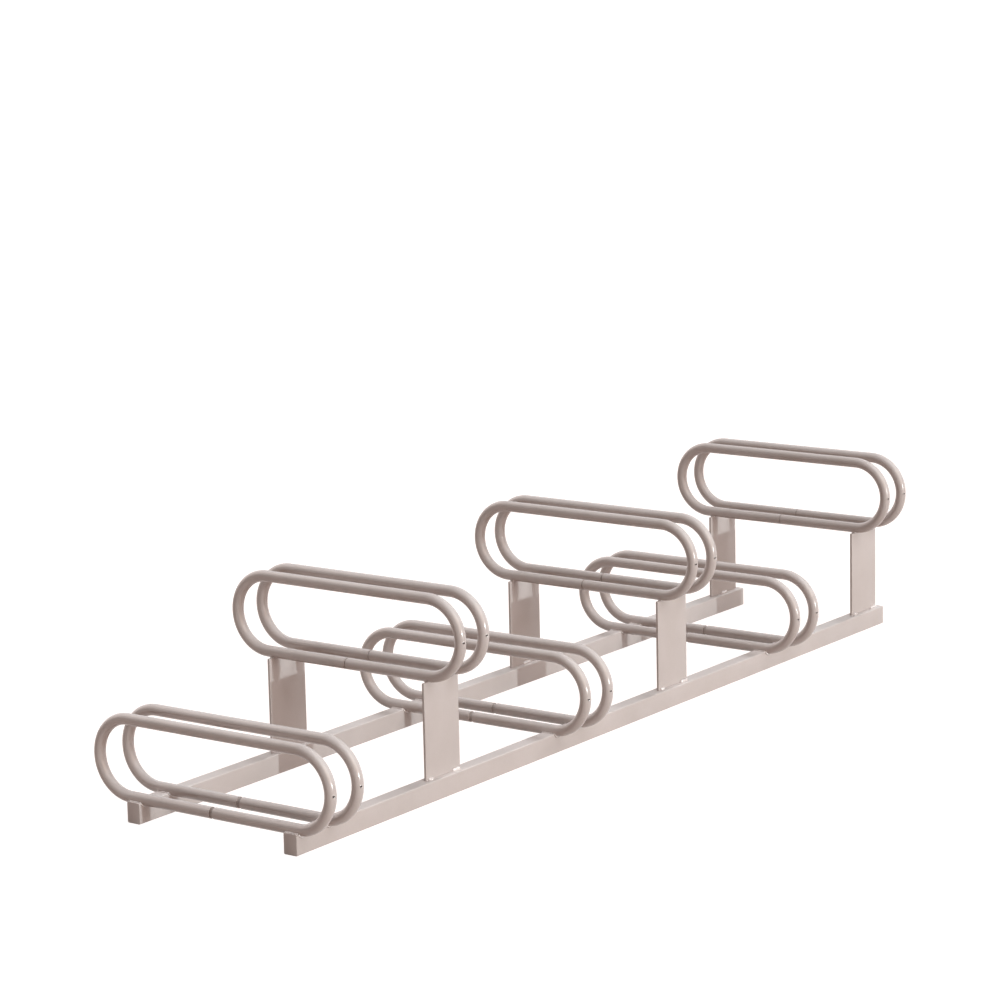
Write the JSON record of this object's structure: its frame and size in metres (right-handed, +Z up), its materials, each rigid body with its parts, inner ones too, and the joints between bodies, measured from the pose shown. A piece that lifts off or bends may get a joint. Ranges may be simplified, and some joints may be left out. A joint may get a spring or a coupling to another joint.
{
  "type": "two tier bike rack",
  "caption": "Floor-standing steel rack that holds bicycle wheels between bent tube loops, low and high in turn, on flat posts and ground rails.",
  "frame": {"origin": "on the ground, under the middle of the rack's length and of its loops' length", "axes": "+X along the ground rails, towards their longer bare ends; +Y across them, towards the side the bicycles come from; +Z up"},
  "size_m": [2.1006, 0.5682, 0.397],
  "materials": {
    "zinc_coated_steel": "satin zinc coat"
  },
  "bodies": {
    "root": {"ground_rail_front": "zinc_coated_steel", "ground_rail_back": "zinc_coated_steel", "end_plate_front_near": "zinc_coated_steel", "end_plate_front_far": "zinc_coated_steel", "end_plate_back_near": "zinc_coated_steel", "end_plate_back_far": "zinc_coated_steel", "post_2_front": "zinc_coated_steel", "post_2_back": "zinc_coated_steel", "post_4_front": "zinc_coated_steel", "post_4_back": "zinc_coated_steel", "post_6_front": "zinc_coated_steel", "post_6_back": "zinc_coated_steel", "low_loop_1a": "zinc_coated_steel", "low_loop_1b": "zinc_coated_steel", "low_loop_3a": "zinc_coated_steel", "low_loop_3b": "zinc_coated_steel", "low_loop_5a": "zinc_coated_steel", "low_loop_5b": "zinc_coated_steel", "high_loop_2a": "zinc_coated_steel", "high_loop_2b": "zinc_coated_steel", "high_loop_4a": "zinc_coated_steel", "high_loop_4b": "zinc_coated_steel", "high_loop_6a": "zinc_coated_steel", "high_loop_6b": "zinc_coated_steel", "joint_plugs": "zinc_coated_steel", "post_foot_beads": "zinc_coated_steel", "high_loop_beads": "zinc_coated_steel", "low_loop_beads": "zinc_coated_steel"}
  },
  "joints": []
}
